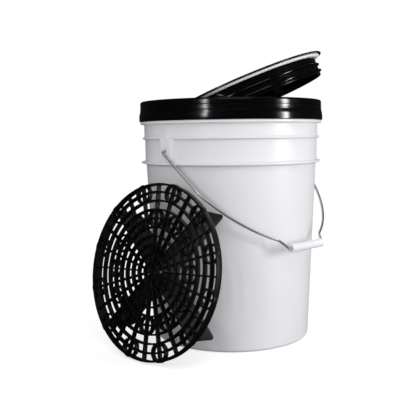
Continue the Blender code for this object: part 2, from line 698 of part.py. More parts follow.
# ================================================================ assembly
def put_origin(item, point):
    """Move an object's origin without moving its surface."""
    item.data.transform(Matrix.Translation(-point))
    item.location = point


def build():
    clear_scene()
    white = plastic("white_pail", (0.86, 0.86, 0.88), 0.32)
    black = plastic("black_gloss", (0.012, 0.012, 0.013), 0.18)
    guard_black = plastic("guard_black", (0.018, 0.018, 0.02), 0.45)
    steel = plastic("zinc_wire", (0.62, 0.63, 0.65), 0.25, 1.0)
    grip_white = plastic("grip_white", (0.84, 0.84, 0.85), 0.4)
    rubber = plastic("seal_rubber", (0.03, 0.03, 0.03), 0.8)
    silicone = plastic("seal_white", (0.88, 0.88, 0.88), 0.5)

    make_pail(white)
    make_ring(black)
    make_ring_seal(rubber)
    lid = make_lid(black)
    make_lid_seal(silicone)
    wire = make_bail(steel)
    grip = make_grip(grip_white)
    grille = make_grille(guard_black)
    for number in range(1, FIN_COUNT + 1):
        make_fin(number, guard_black)

    put_origin(lid, LID_CENTRE)
    put_origin(wire, Vector((0, 0, EAR_Z)))
    put_origin(grip, bail_frame() @ Vector((0, 0, SEAT_REACH)))
    put_origin(grille, guard_frame().translation)


build()
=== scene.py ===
# %% [markdown]
# # A wash bucket with a screw lid, a wire bail and a grit guard
#
# A car-wash bucket is a tall moulded pail. A ring is pressed over its rim and carries a screw thread, a
# lid turns into that thread, and a round grit guard, which normally lies on the bottom to keep grit
# out of the mitt, is leaning on the wall here. This lesson rebuilds each of those pieces as a
# surface worked out with numpy: most of them are one outline turned about an axis, the bail is a
# circle carried along a bent wire, and the guard is one bar repeated around a disc.
#
# Each piece below stands for one of its parts.

# %% Load the frame
import json

import bpy
import numpy as np
from mathutils import Matrix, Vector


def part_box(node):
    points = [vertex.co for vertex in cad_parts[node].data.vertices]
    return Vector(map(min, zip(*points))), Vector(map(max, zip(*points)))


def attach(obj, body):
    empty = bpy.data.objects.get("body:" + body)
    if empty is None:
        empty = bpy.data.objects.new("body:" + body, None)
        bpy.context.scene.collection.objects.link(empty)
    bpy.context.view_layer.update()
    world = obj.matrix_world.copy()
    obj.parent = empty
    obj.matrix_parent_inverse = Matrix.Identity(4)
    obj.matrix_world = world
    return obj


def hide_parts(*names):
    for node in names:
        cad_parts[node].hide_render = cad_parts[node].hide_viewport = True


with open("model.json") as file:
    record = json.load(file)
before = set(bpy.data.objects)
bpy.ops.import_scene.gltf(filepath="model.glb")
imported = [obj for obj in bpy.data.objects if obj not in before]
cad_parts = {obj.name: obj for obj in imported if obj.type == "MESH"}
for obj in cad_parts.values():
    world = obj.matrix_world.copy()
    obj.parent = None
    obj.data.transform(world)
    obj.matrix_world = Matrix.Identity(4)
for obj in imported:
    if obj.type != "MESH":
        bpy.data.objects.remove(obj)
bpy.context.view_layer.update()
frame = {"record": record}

record = frame["record"]
MM = 0.001

# %% [markdown]
# ## Where things are
#
# Sizes that the mechanical model already knows are read from it and not typed again: heights of the
# pail and the ring from their boxes, the bail's axis from its hinge, the guard's direction from its
# slide. The lid leans, so its place is found from the seal under its rim: the same seal is worked
# out leaning in the same way at the origin, and the lid's place is the step from the middle of that
# seal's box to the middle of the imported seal's box.

# %% Read the places of the parts
joints = {joint["name"]: joint for joint in record["behaviour"]["joints"]}


def middle_of(node):
    low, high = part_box(node)
    return (np.array(low) + np.array(high)) / 2


PAIL_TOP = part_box("bucket_body")[1].z
RING_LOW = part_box("adapter_ring")[0].z + 8.0 * MM
RING_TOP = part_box("adapter_ring")[1].z
BAIL_AXIS = np.array(joints["bail_swing"]["axis"])
BAIL_PIVOT = np.array(joints["bail_swing"]["pos_m"])
GRIP_MIDDLE = np.array(joints["grip_spin"]["pos_m"])
GUARD_OUT = np.array(joints["guard_slide"]["axis"])
UP = np.array([0.0, 0.0, 1.0])
print(f"pail {PAIL_TOP / MM:.1f} mm high, ring from {RING_LOW / MM:.1f} to {RING_TOP / MM:.1f} mm")

# %% [markdown]
# ## From arrays to a mesh
#
# Every piece ends up as an array of points and two arrays of faces, one of quads and one of
# triangles. Handing the arrays over with foreach_set is quick however many points there are. The
# sum of the little tetrahedra between the faces and the origin is the piece's volume, and if it
# comes out negative the faces are wound the wrong way, so they are all turned round.


# %% A mesh from arrays
def six_volumes(points, quads, triangles):
    """Signed volume times six: the triple product of each triangle's corners, summed."""
    split = np.concatenate([quads[:, [0, 1, 2]], quads[:, [0, 2, 3]], triangles])
    a, b, c = points[split[:, 0]], points[split[:, 1]], points[split[:, 2]]
    return np.einsum("ij,ij->i", a, np.cross(b, c)).sum()


def make_piece(name, points, quads, triangles, material, body, slot, sharp_angle=32.0):
    """A closed piece from points (n, 3), quads (m, 4) and triangles (k, 3), riding on a body."""
    points = np.asarray(points, float).reshape(-1, 3)
    quads = np.asarray(quads, np.int32).reshape(-1, 4)
    triangles = np.asarray(triangles, np.int32).reshape(-1, 3)
    if six_volumes(points, quads, triangles) < 0:
        quads, triangles = quads[:, ::-1], triangles[:, ::-1]
    mesh = bpy.data.meshes.new(name)
    mesh.vertices.add(len(points))
    mesh.vertices.foreach_set("co", points.astype(np.float32).ravel())
    corners = np.concatenate([quads.ravel(), triangles.ravel()])
    sizes = np.concatenate([np.full(len(quads), 4), np.full(len(triangles), 3)])
    mesh.loops.add(len(corners))
    mesh.loops.foreach_set("vertex_index", corners.astype(np.int32))
    mesh.polygons.add(len(sizes))
    starts = np.concatenate([[0], np.cumsum(sizes)[:-1]])
    mesh.polygons.foreach_set("loop_start", starts.astype(np.int32))
    mesh.update(calc_edges=True)
    mesh.validate()
    mesh.shade_smooth()
    mesh.set_sharp_from_angle(angle=np.radians(sharp_angle))
    mesh.materials.append(material)
    piece = bpy.data.objects.new(name, mesh)
    bpy.context.scene.collection.objects.link(piece)
    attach(piece, body)
    print(f"{name}: {len(points)} points, {2 * len(quads) + len(triangles)} triangles")
    return piece


# %% [markdown]
# ## Three ways to make a surface
#
# A *grid* joins rows of points into quads and closes around its columns. A *turned* surface takes
# an outline of radius and height and repeats it around an axis. A *swept* surface carries a closed
# section along a path. Outlines are typed as a few corners, each with the radius of its rounding,
# because moulded plastic has no sharp corner anywhere: the small radii are what catch the light.


# %% Grids and rounded outlines
def wrap_grid(rows, columns, close_rows=False):
    """Quads joining neighbours in a rows x columns grid whose last column meets its first."""
    r = np.arange(rows if close_rows else rows - 1)[:, None]
    c = np.arange(columns)[None, :]
    next_r, next_c = (r + 1) % rows, (c + 1) % columns
    corners = [r * columns + c, r * columns + next_c, next_r * columns + next_c, next_r * columns + c]
    return np.stack(corners, -1).reshape(-1, 4)


def fan(centre, ring):
    """Triangles from one point to each side of a closed ring of points."""
    ring = np.asarray(ring)
    return np.stack([np.full(len(ring), centre), ring, np.roll(ring, -1)], -1)


def rounded(corners, steps=5, closed=True):
    """Outline whose corners (x, y, radius) are arcs tangent to both neighbouring sides.

    With a and b the unit directions to the neighbours and h half the angle between them, the arc's
    centre is the corner + (a + b) direction * radius / sin h, and the arc is swept between its two
    touching points by spherical interpolation. An open outline keeps its two end points.
    """
    table = np.array(corners, float)
    point, radius = table[:, :2], table[:, 2:]
    a = np.roll(point, 1, 0) - point
    b = np.roll(point, -1, 0) - point
    a /= np.linalg.norm(a, axis=1, keepdims=True)
    b /= np.linalg.norm(b, axis=1, keepdims=True)
    half = np.arccos(np.clip((a * b).sum(1, keepdims=True), -1, 1)) / 2
    turn = np.maximum(np.pi - 2 * half, 1e-6)
    middle = a + b
    middle /= np.maximum(np.linalg.norm(middle, axis=1, keepdims=True), 1e-12)
    centre = point + middle * radius / np.sin(half)
    start = point + a * radius / np.tan(half) - centre
    end = point + b * radius / np.tan(half) - centre
    t = np.linspace(0, 1, steps + 1)[None, :, None]
    turn = turn[:, None, :]
    weight_start, weight_end = np.sin((1 - t) * turn) / np.sin(turn), np.sin(t * turn) / np.sin(turn)
    arcs = centre[:, None, :] + weight_start * start[:, None, :] + weight_end * end[:, None, :]
    if not closed:
        arcs = np.concatenate([point[:1], arcs[1:-1].reshape(-1, 2), point[-1:]])
    line = arcs.reshape(-1, 2)
    apart = np.linalg.norm(line - np.roll(line, 1, 0), axis=1) > 1e-6
    if not closed:
        apart[0] = True
    return line[apart]


# %% Turned and swept surfaces
def turned(outline, segments):
    """Outline (r, z) turned about Z: point = (r cos t, r sin t, z). Ends on the axis close in a pole."""
    outline = np.asarray(outline, float)
    poles = [end for end in (0, -1) if outline[end, 0] < 1e-9]
    body = outline[1 if 0 in poles else 0: -1 if -1 in poles else None]
    t = np.linspace(0, 2 * np.pi, segments, endpoint=False)
    r, z = body[:, :1], body[:, 1:]
    grid = np.stack([r * np.cos(t), r * np.sin(t), z + 0 * t], -1)
    points = grid.reshape(-1, 3)
    triangles = np.zeros((0, 3), int)
    for end in poles:
        row = 0 if end == 0 else len(body) - 1
        ring = row * segments + np.arange(segments)
        tip = fan(len(points), ring if end == -1 else ring[::-1])
        points = np.concatenate([points, [[0, 0, outline[end, 1]]]])
        triangles = np.concatenate([triangles, tip])
    return points, wrap_grid(len(body), segments, close_rows=not poles), triangles


def swept(path, normals, section):
    """A closed section (x, y) carried along a path: point = path + x * side + y * normal.

    The side is the cross product of the path's direction and the given normals. Both ends close in
    a fan about the path's end point.
    """
    path, section = np.asarray(path, float), np.asarray(section, float)
    along = np.gradient(path, axis=0)
    along /= np.linalg.norm(along, axis=1, keepdims=True)
    normals = np.broadcast_to(np.asarray(normals, float), path.shape)
    side = np.cross(along, normals)
    side /= np.linalg.norm(side, axis=1, keepdims=True)
    lift = np.cross(side, along)
    grid = path[:, None] + section[None, :, :1] * side[:, None] + section[None, :, 1:] * lift[:, None]
    count, around = len(path), len(section)
    points = np.concatenate([grid.reshape(-1, 3), path[:1], path[-1:]])
    ring = np.arange(around)
    first = fan(count * around, ring[::-1])
    last = fan(count * around + 1, (count - 1) * around + ring)
    return points, wrap_grid(count, around), np.concatenate([first, last])


def repeated(points, quads, triangles, matrices):
    """The same surface placed by each 4x4 matrix of a stack, as one set of arrays."""
    points = np.asarray(points)
    many = np.einsum("kij,nj->kni", matrices[:, :3, :3], points) + matrices[:, None, :3, 3]
    shift = (np.arange(len(matrices)) * len(points))[:, None, None]
    quads = (quads[None] + shift).reshape(-1, 4)
    return many.reshape(-1, 3), quads, (triangles[None] + shift).reshape(-1, 3)


def joined(*surfaces):
    """Several surfaces as one set of arrays."""
    offsets = np.cumsum([0] + [len(surface[0]) for surface in surfaces[:-1]])
    points = np.concatenate([surface[0] for surface in surfaces])
    quads = np.concatenate([surface[1] + offset for surface, offset in zip(surfaces, offsets)])
    triangles = np.concatenate([surface[2] + offset for surface, offset in zip(surfaces, offsets)])
    return points, quads, triangles


def placed(surface, x_axis, y_axis, z_axis, origin):
    """A surface carried from its own axes to a place in the object."""
    points, quads, triangles = surface
    return points @ np.array([x_axis, y_axis, z_axis]) + origin, quads, triangles


def smooth_step(value, low, high):
    """0 below low, 1 above high, and 3 t^2 - 2 t^3 between."""
    t = np.clip((value - low) / (high - low), 0, 1)
    return t * t * (3 - 2 * t)


def turns(angles):
    """A stack of 4x4 matrices, each a turn about Z."""
    angles = np.asarray(angles, float)
    stack = np.tile(np.eye(4), (len(angles), 1, 1))
    stack[:, 0, 0] = stack[:, 1, 1] = np.cos(angles)
    stack[:, 1, 0] = np.sin(angles)
    stack[:, 0, 1] = -np.sin(angles)
    return stack


print("surface tools ready")

# %% [markdown]
# ## Finishes
#
# Moulded plastic looks like plastic because of small things: a skin that is never quite flat, gloss
# that changes a little from place to place, and a colour that is not perfectly even. Each finish
# below mixes two colours by a soft noise, lets a second noise move the roughness, and adds a bump
# of real depth in metres. The patterns read Object coordinates, so one unit is one metre and a
# scale of 400 gives a grain of about 2.5 mm.


# %% A recipe for moulded plastic
def node(tree, kind, **settings):
    made = tree.nodes.new(kind)
    for key, value in settings.items():
        setattr(made, key, value)
    return made


def noise(tree, vector, scale, detail=2.0, roughness=0.5):
    texture = node(tree, "ShaderNodeTexNoise")
    texture.inputs["Scale"].default_value = scale
    texture.inputs["Detail"].default_value = detail
    texture.inputs["Roughness"].default_value = roughness
    tree.links.new(vector, texture.inputs["Vector"])
    return texture.outputs["Fac"]


def spread(tree, value, low, high, in_low=0.3, in_high=0.7):
    """Map a noise's middle range onto low..high."""
    ramp = node(tree, "ShaderNodeMapRange")
    ramp.inputs["From Min"].default_value = in_low
    ramp.inputs["From Max"].default_value = in_high
    ramp.inputs["To Min"].default_value = low
    ramp.inputs["To Max"].default_value = high
    tree.links.new(value, ramp.inputs["Value"])
    return ramp.outputs["Result"]


def two_colours(tree, factor, first, second):
    """A Mix node's colours are its inputs 6 and 7, and its colour result is output 2."""
    mix = node(tree, "ShaderNodeMix", data_type="RGBA")
    mix.inputs[6].default_value = (*first, 1.0)
    mix.inputs[7].default_value = (*second, 1.0)
    tree.links.new(factor, mix.inputs[0])
    return mix.outputs[2]


def stretched(tree, vector, scale):
    mapping = node(tree, "ShaderNodeMapping")
    mapping.inputs["Scale"].default_value = scale
    tree.links.new(vector, mapping.inputs["Vector"])
    return mapping.outputs["Vector"]


def bumped(tree, heights):
    """Chain bumps: each is (height value, strength, depth in metres)."""
    normal = None
    for height, strength, distance in heights:
        bump = node(tree, "ShaderNodeBump")
        bump.inputs["Strength"].default_value = strength
        bump.inputs["Distance"].default_value = distance
        tree.links.new(height, bump.inputs["Height"])
        if normal is not None:
            tree.links.new(normal, bump.inputs["Normal"])
        normal = bump.outputs["Normal"]
    return normal


def finish(name):
    """A new material, its node tree, its shader and the object coordinates."""
    material = bpy.data.materials.new(name)
    material.use_nodes = True
    tree = material.node_tree
    shader = tree.nodes["Principled BSDF"]
    place = node(tree, "ShaderNodeTexCoord").outputs["Object"]
    return material, tree, shader, place


def moulded(name, light, dark, gloss, grain, grain_depth, swell_depth, specular=0.5):
    """Moulded plastic: soft colour drift, uneven gloss, a fine skin and slow sink marks."""
    material, tree, shader, place = finish(name)
    link = tree.links.new
    drift = spread(tree, noise(tree, place, 14.0, 3.0), 0.0, 1.0)
    link(two_colours(tree, drift, light, dark), shader.inputs["Base Color"])
    smears = noise(tree, stretched(tree, place, (1.0, 1.0, 0.35)), 60.0, 4.0, 0.6)
    link(spread(tree, smears, *gloss), shader.inputs["Roughness"])
    skin = noise(tree, place, grain, 3.0, 0.6)
    swell = noise(tree, place, 22.0, 1.0)
    link(bumped(tree, [(swell, 0.5, swell_depth), (skin, 0.6, grain_depth)]), shader.inputs["Normal"])
    shader.inputs["Specular IOR Level"].default_value = specular
    return material


# %% Plastics of this object
pail_white = moulded(
    "pail_white", (0.80, 0.795, 0.81), (0.788, 0.783, 0.80), (0.33, 0.36), 900.0, 0.00001, 0.00012
)
gloss_black = moulded(
    "gloss_black", (0.0010, 0.0010, 0.0012), (0.0022, 0.0022, 0.0024), (0.10, 0.19), 1200.0,
    0.00001, 0.0003
)
guard_black = moulded(
    "guard_black", (0.0012, 0.0012, 0.0014), (0.0026, 0.0026, 0.0028), (0.34, 0.48), 1600.0,
    0.00003, 0.0002, 0.35
)
grip_white = moulded(
    "grip_white", (0.84, 0.845, 0.86), (0.80, 0.80, 0.82), (0.32, 0.45), 1400.0, 0.00002, 0.0001
)
seal_black = moulded(
    "seal_black", (0.018, 0.018, 0.018), (0.030, 0.030, 0.030), (0.60, 0.80), 2200.0, 0.00004, 0.0001, 0.3
)
seal_white = moulded(
    "seal_white", (0.94, 0.94, 0.94), (0.90, 0.90, 0.91), (0.42, 0.55), 1800.0, 0.00003, 0.0001, 0.4
)
print("six plastics")

# %% [markdown]
# The bail is zinc-plated steel wire. Wire is pulled through a die, so its marks run along it, and
# the zinc clouds the shine in patches. The marks have to follow the bends, so the wire's surface
# carries its own coordinates: the cosine and sine of the way round, and the length along.


# %% Zinc-plated wire
def drawn_wire(name):
    """Metal whose fine grooves run along the wire, read from the wire_place attribute."""
    material, tree, shader, place = finish(name)
    link = tree.links.new
    own = node(tree, "ShaderNodeAttribute", attribute_name="wire_place").outputs["Vector"]
    grooves = noise(tree, stretched(tree, own, (6.0, 6.0, 14.0)), 1.0, 4.0, 0.65)
    clouds = noise(tree, place, 180.0, 3.0, 0.6)
    link(two_colours(tree, spread(tree, clouds, 0.0, 1.0), (0.66, 0.67, 0.69), (0.54, 0.55, 0.57)),
         shader.inputs["Base Color"])
    link(spread(tree, clouds, 0.30, 0.38), shader.inputs["Roughness"])
    link(bumped(tree, [(grooves, 0.12, 0.00002), (clouds, 0.05, 0.00001)]), shader.inputs["Normal"])
    shader.inputs["Metallic"].default_value = 0.85
    return material


zinc_wire = drawn_wire("zinc_wire")
print("drawn wire")

# %% [markdown]
# ## The pail
#
# The pail is injection moulded: one thin wall, a rim bead that the ring grips, a lip for the
# ring to stand on, and two stiffening ribs below it. The wall tapers so that pails stack and leave
# the mould. One closed outline, outside and inside, turned about the axis gives all of that. The
# underside has a foot ring, a panel raised 2 mm, and the flush pad where the plastic was injected.

# %% Turn the pail
FLANGE_Z = 289.5
RIB_Z = 328.6
LIP_TOP = RING_LOW / MM - 0.3
TOP = PAIL_TOP / MM
pail_outline = rounded([
    (0.0, 0.0, 0.0), (30.0, 0.0, 0.6), (32.0, 2.0, 0.8), (106.4, 2.0, 0.8), (108.4, 0.0, 0.8),
    (128.1, 0.0, 5.8),
    (140.2, FLANGE_Z - 2.9, 2.6), (148.0, FLANGE_Z - 1.1, 0.55), (148.0, FLANGE_Z + 1.1, 0.55),
    (141.8, FLANGE_Z + 3.2, 2.4),
    (141.8, RIB_Z - 2.2, 1.8), (146.4, RIB_Z - 0.9, 0.5), (146.4, RIB_Z + 0.5, 0.5),
    (142.9, RIB_Z + 2.9, 2.0),
    (142.9, LIP_TOP - 5.2, 1.8), (149.2, LIP_TOP - 3.8, 0.7), (149.2, LIP_TOP, 0.6),
    (142.9, LIP_TOP, 0.5),
    (142.9, TOP - 8.0, 0.5), (145.4, TOP - 6.4, 0.7), (145.4, TOP, 1.7), (140.5, TOP, 0.8),
    (140.5, RIB_Z - 1.0, 8.0), (139.4, RIB_Z - 8.0, 8.0), (139.4, FLANGE_Z + 4.0, 8.0),
    (137.9, FLANGE_Z - 4.0, 8.0), (126.2, 5.0, 4.5), (0.0, 5.0, 0.0),
], steps=6, closed=False)
pail = make_piece("pail_shell", *turned(pail_outline * MM, 288), pail_white, "bucket", "white_pail")
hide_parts("bucket_body")
print(f"outline of {len(pail_outline)} points")

# %% [markdown]
# ## The ears
#
# The bail hooks into two thick pads between the lower flange and the upper rib. Each pad has a flat
# face with a blind hole and sloping sides. As a surface it is a stack of closed loops: the loops
# start as small circles in the hole, climb to its mouth, and then open out into a rounded rectangle
# given by a superellipse, |x/a|^n + |z/b|^n = 1, before they slope back into the wall. A thin
# upright rib on each pad stiffens the neck above it.

# %% Ears and their ribs
EAR_ROWS = [
    # how far out, half width, half height, power of the superellipse
    (141.8, 2.10, 2.10, 2.0), (142.1, 2.40, 2.40, 2.0), (146.5, 2.40, 2.40, 2.0),
    (146.9, 2.65, 2.65, 2.0), (147.0, 3.10, 3.10, 2.0), (147.0, 6.00, 8.00, 2.4),
    (147.0, 11.4, 19.4, 9.0), (146.8, 12.0, 19.9, 9.0), (146.3, 12.7, 20.2, 9.0),
    (141.6, 18.3, 20.4, 9.0), (139.9, 19.2, 20.4, 9.0),
]


def ear_surface(columns=96):
    """Loops of |x/a|^n + |z/b|^n = 1, each at its own distance out, closed by a point at each end."""
    out, a, b, n = np.array(EAR_ROWS).T[:, :, None]
    t = np.linspace(0, 2 * np.pi, columns, endpoint=False)[None]
    reach = ((np.abs(np.cos(t)) / a) ** n + (np.abs(np.sin(t)) / b) ** n) ** (-1 / n)
    grid = np.stack([reach * np.cos(t), out + 0 * t, reach * np.sin(t)], -1)
    rows = len(EAR_ROWS)
    ends = [[0, EAR_ROWS[0][0], 0], [0, EAR_ROWS[-1][0], 0]]
    points = np.concatenate([grid.reshape(-1, 3), ends])
    ring = np.arange(columns)
    caps = [fan(rows * columns, ring[::-1]), fan(rows * columns + 1, (rows - 1) * columns + ring)]
    return points * MM, wrap_grid(rows, columns), np.concatenate(caps)


RIB_WIDE, RIB_DEEP, RIB_OUT = 1.25, 2.25, 143.85    # half width, half depth, distance from the axis
rib_section = rounded([
    (-RIB_WIDE, -RIB_DEEP, 0.0), (RIB_WIDE, -RIB_DEEP, 0.0),
    (RIB_WIDE, RIB_DEEP, 0.6), (-RIB_WIDE, RIB_DEEP, 0.6),
])
rib_path = np.linspace([0, RIB_OUT, RIB_Z], [0, RIB_OUT, LIP_TOP - 2.5], 8)
for side, where in ((1, "near"), (-1, "far")):
    outwards = BAIL_AXIS * side
    across = np.cross(outwards, UP)
    ear = placed(ear_surface(), across, outwards, UP, BAIL_PIVOT)
    make_piece(f"ear_{where}", *ear, pail_white, "bucket", "white_pail")
    rib = swept(rib_path * MM, [0, 1, 0], rib_section * MM)
    rib = placed(rib, across, outwards, UP, np.zeros(3))
    make_piece(f"ear_rib_{where}", *rib, pail_white, "bucket", "white_pail")

# %% [markdown]
# ## The push-fit ring
#
# The black ring is glossier than the pail. Its skirt flares at the bottom, curves in smoothly by
# 2 mm, and has two fine grooves and a rounded top edge. Inside, a tube reaches down into the pail
# and carries the thread. The hollow between the tube and the skirt takes the pail's rim and a flat
# rubber seal. Again one closed outline does it, and its rounded edges catch the light.

# %% Turn the ring and its seal
LOW, HIGH = RING_LOW / MM, RING_TOP / MM
FLARE, STRAIGHT = 150.9, 148.9
CURVE_LOW, CURVE_HIGH = 7.0, 20.0
GROOVES = (15.4, 22.7)


def skirt(height):
    """Outer radius at a height above the bottom edge: smooth step from the flare to the straight part."""
    return FLARE + (STRAIGHT - FLARE) * smooth_step(height, CURVE_LOW, CURVE_HIGH)


def groove(height, depth=0.5, half=0.5):
    """Three corners of a fine groove cut in the skirt."""
    return [(skirt(height - half), LOW + height - half, 0.15),
            (skirt(height) - depth, LOW + height, 0.12),
            (skirt(height + half), LOW + height + half, 0.15)]


curve = [(skirt(height), LOW + height, 3.0) for height in (CURVE_LOW, 10.0, 12.6)]
ring_outline = rounded([
    (FLARE, LOW, 0.6), *curve, *groove(GROOVES[0]), (skirt(18.0), LOW + 18.0, 3.0),
    *groove(GROOVES[1]), (STRAIGHT, HIGH, 3.4), (138.5, HIGH, 0.9), (135.0, HIGH - 3.5, 1.2),
    (135.0, HIGH - 40.0, 0.9), (137.6, HIGH - 40.0, 0.6), (137.6, HIGH - 3.4, 1.0),
    (146.6, HIGH - 3.4, 1.0), (146.6, 372.2, 0.4), (143.6, 370.8, 0.5), (146.6, 367.8, 0.4),
    (146.6, LOW, 0.5),
], steps=6)
ring = make_piece("rim_ring", *turned(ring_outline * MM, 288), gloss_black, "bucket", "black_gloss")
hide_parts("adapter_ring")

seal_low, seal_high = (box_corner.z / MM for box_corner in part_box("ring_gasket"))
seal_outline = rounded([
    (141.2, seal_low, 0.4), (144.7, seal_low, 0.4), (144.7, seal_high, 0.9), (141.2, seal_high, 0.9),
])
seal = make_piece("ring_seal", *turned(seal_outline * MM, 192), seal_black, "bucket", "seal_rubber")
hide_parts("ring_gasket")

# %% [markdown]
# ## Screw threads
#
# Both threads are right-handed: going down, the ridge turns clockwise seen from above. The ridge's
# height rises from nothing and dies away at both ends, which lets the lid find its way in. It is a
# function of two parameters, the angle along the helix and the place on a rounded ridge section.


# %% Helical ridges
def thread_ridge(wall, height, top, pitch, turn_count, start, steps_per_turn=120):
    """Point = ((wall + u) cos t, (wall + u) sin t, top - pitch * turns + w).

    (u, w) is the ridge section: u the height scaled by a smooth run-in and w the place across it.
    A positive height stands outside the wall, a negative one inside.
    """
    count = int(turn_count * steps_per_turn)
    gone = np.linspace(0, turn_count, count + 1)[:, None]
    t = start - 2 * np.pi * gone
    run_in = np.clip(np.minimum(gone, turn_count - gone) / 0.07, 0, 1)
    rise = np.sin(run_in * np.pi / 2) * height
    sink = -np.sign(height) * 0.8
    across = np.array([-2.3, -2.15, -1.3, -0.75, -0.3, 0.3, 0.75, 1.3, 2.15, 2.3])[None]
    share = np.array([0.0, 0.12, 0.72, 0.96, 1.0, 1.0, 0.96, 0.72, 0.12, 0.0])[None]
    r = wall + np.where(share == 0.0, sink, share * rise)
    grid = np.stack([r * np.cos(t), r * np.sin(t), top - pitch * gone + across], -1) * MM
    ring = np.arange(grid.shape[1])
    points = np.concatenate([grid.reshape(-1, 3), grid[:1].mean(1), grid[-1:].mean(1)])
    last = count * grid.shape[1]
    caps = [fan(last + grid.shape[1], ring[::-1]), fan(last + grid.shape[1] + 1, last + ring)]
    return points, wrap_grid(count + 1, grid.shape[1]), np.concatenate(caps)


THREAD_PITCH, THREAD_TURNS = 10.0, 1.75
ring_thread = thread_ridge(135.0, -5.6, HIGH - 17.0, THREAD_PITCH, THREAD_TURNS, np.pi / 2)
make_piece("ring_thread", *ring_thread, gloss_black, "bucket", "black_gloss")

# %% [markdown]
# ## The lid
#
# The lid leans in the mouth, uphill to the right. It is worked out level, about its own axis, and
# then carried to its place. Its rim is a flat plate 2.5 mm thick. Under it lies a pale flat seal with
# a sloping outer edge, which is the bright band seen from the front. The neck carries the thread.

# %% The lid's own axes
LEAN = np.radians(22.2)
HEADING = np.radians(-6.3)
LID_X = np.array([np.cos(HEADING) * np.cos(LEAN), np.sin(HEADING) * np.cos(LEAN), np.sin(LEAN)])
LID_Y = np.array([-np.sin(HEADING), np.cos(HEADING), 0.0])
LID_Z = np.cross(LID_X, LID_Y)
LID_EDGE = 2.5
LID_NECK = 128.0
SEAL_HIGH, SEAL_LOW = -LID_EDGE - 0.3, -LID_EDGE - 3.4
SEAL_INNER = 128.3
SEAL_SECTION = np.array([
    (SEAL_INNER, SEAL_LOW), (133.6, SEAL_LOW), (136.2, -4.35), (136.6, SEAL_HIGH),
    (SEAL_INNER, SEAL_HIGH),
])
leaning_seal = placed(turned(SEAL_SECTION * MM, 48), LID_X, LID_Y, LID_Z, np.zeros(3))[0]
LID_ORIGIN = middle_of("lid_gasket") - (leaning_seal.min(0) + leaning_seal.max(0)) / 2
lid_place = (LID_X, LID_Y, LID_Z, LID_ORIGIN)
print("lid centre (mm):", np.round(LID_ORIGIN / MM, 1))

# %% Turn the lid's rim, neck and seal
DISH_RADIUS = 117.0
DISH_DEPTH = 12.0
lid_outline = rounded([
    (DISH_RADIUS, -DISH_DEPTH - 2.6, 0.6), (DISH_RADIUS, -2.2, 0.6), (118.4, 0.0, 1.2),
    (140.5, 0.0, 1.3), (140.5, -LID_EDGE, 0.5), (LID_NECK, -LID_EDGE, 0.5), (LID_NECK, -34.0, 0.9),
    (125.2, -34.0, 0.8), (125.2, -2.9, 1.2), (120.8, -2.9, 1.2), (120.8, -DISH_DEPTH - 2.6, 0.8),
], steps=6)
lid_rim = placed(turned(lid_outline * MM, 288), *lid_place)
lid_rim = make_piece("lid_rim", *lid_rim, gloss_black, "lid", "black_gloss")
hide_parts("screw_lid")

seal_rounding = np.array([0.3, 0.8, 0.8, 0.4, 0.2])[:, None]
seal_outline = rounded(np.concatenate([SEAL_SECTION, seal_rounding], 1))
lid_seal = placed(turned(seal_outline * MM, 288), *lid_place)
lid_seal = make_piece("lid_seal", *lid_seal, seal_white, "lid", "seal_white")
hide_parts("lid_gasket")

lid_thread = thread_ridge(LID_NECK, 3.6, -14.3, THREAD_PITCH, THREAD_TURNS, np.pi / 2)
lid_thread = placed(lid_thread, *lid_place)
make_piece("lid_thread", *lid_thread, gloss_black, "lid", "black_gloss")

# %% [markdown]
# The top of the lid is dished, with a bar across the middle to turn it by. The dish is a height
# field, so it can be one sheet with a top and an underside a constant distance apart. The grid's
# lines run along the bar, x constant, and each line stops at the circle of the dish: a point is
# (x, s * sqrt(R^2 - x^2)) with s from -1 to 1. That keeps the bar's edges crisp and the dish round.


# %% The lid's dish and grip bar
def dish_height(x, y):
    """Floor at the dish's depth, a step up in the middle, and the bar as a plateau along x = 0."""
    r = np.hypot(x, y)
    floor = -DISH_DEPTH + 1.2 * (1 - smooth_step(r, 84.0, 87.0))
    bar = smooth_step(-np.abs(x), -13.0, -11.2)
    return floor + (-0.9 - floor) * bar


def lid_dish(thickness=2.6):
    """Top and underside of the height field over the disc, closed around the rim."""
    edge = DISH_RADIUS + 1.4
    fine = np.linspace(10.9, 13.3, 13)
    coarse = edge * np.sin(np.linspace(0.1190, np.pi / 2 - 0.02, 70))
    half = np.concatenate([np.linspace(0.6, 10.3, 12), fine, coarse])
    x = np.concatenate([-half[::-1], half])[:, None]
    s = np.sin(np.linspace(-1, 1, 121) * np.pi / 2)[None]
    y = s * np.sqrt(edge ** 2 - x ** 2)
    top = dish_height(x, y)
    upper = np.stack([x + 0 * s, y, top], -1)
    lower = upper - [0, 0, thickness]
    loops = np.concatenate([upper, lower[:, ::-1]], 1)
    count, around = loops.shape[:2]
    points = np.concatenate([loops.reshape(-1, 3), loops[:1].mean(1), loops[-1:].mean(1)])
    ring = np.arange(around)
    caps = [fan(count * around, ring[::-1]), fan(count * around + 1, (count - 1) * around + ring)]
    return points * MM, wrap_grid(count, around), np.concatenate(caps)


make_piece("lid_dish", *placed(lid_dish(), *lid_place), gloss_black, "lid", "black_gloss")

# %% [markdown]
# ## The bail
#
# The bail is one steel wire, hooked into the ears and hanging down over the right side of the pail.
# Its middle line lies in a plane, so it is drawn there: a straight leg from each ear, a wide arc,
# then a shoulder on each side of a straight seat for the grip. Rounding the corners of that line
# gives real wire bends. A circle carried along it makes the wire.

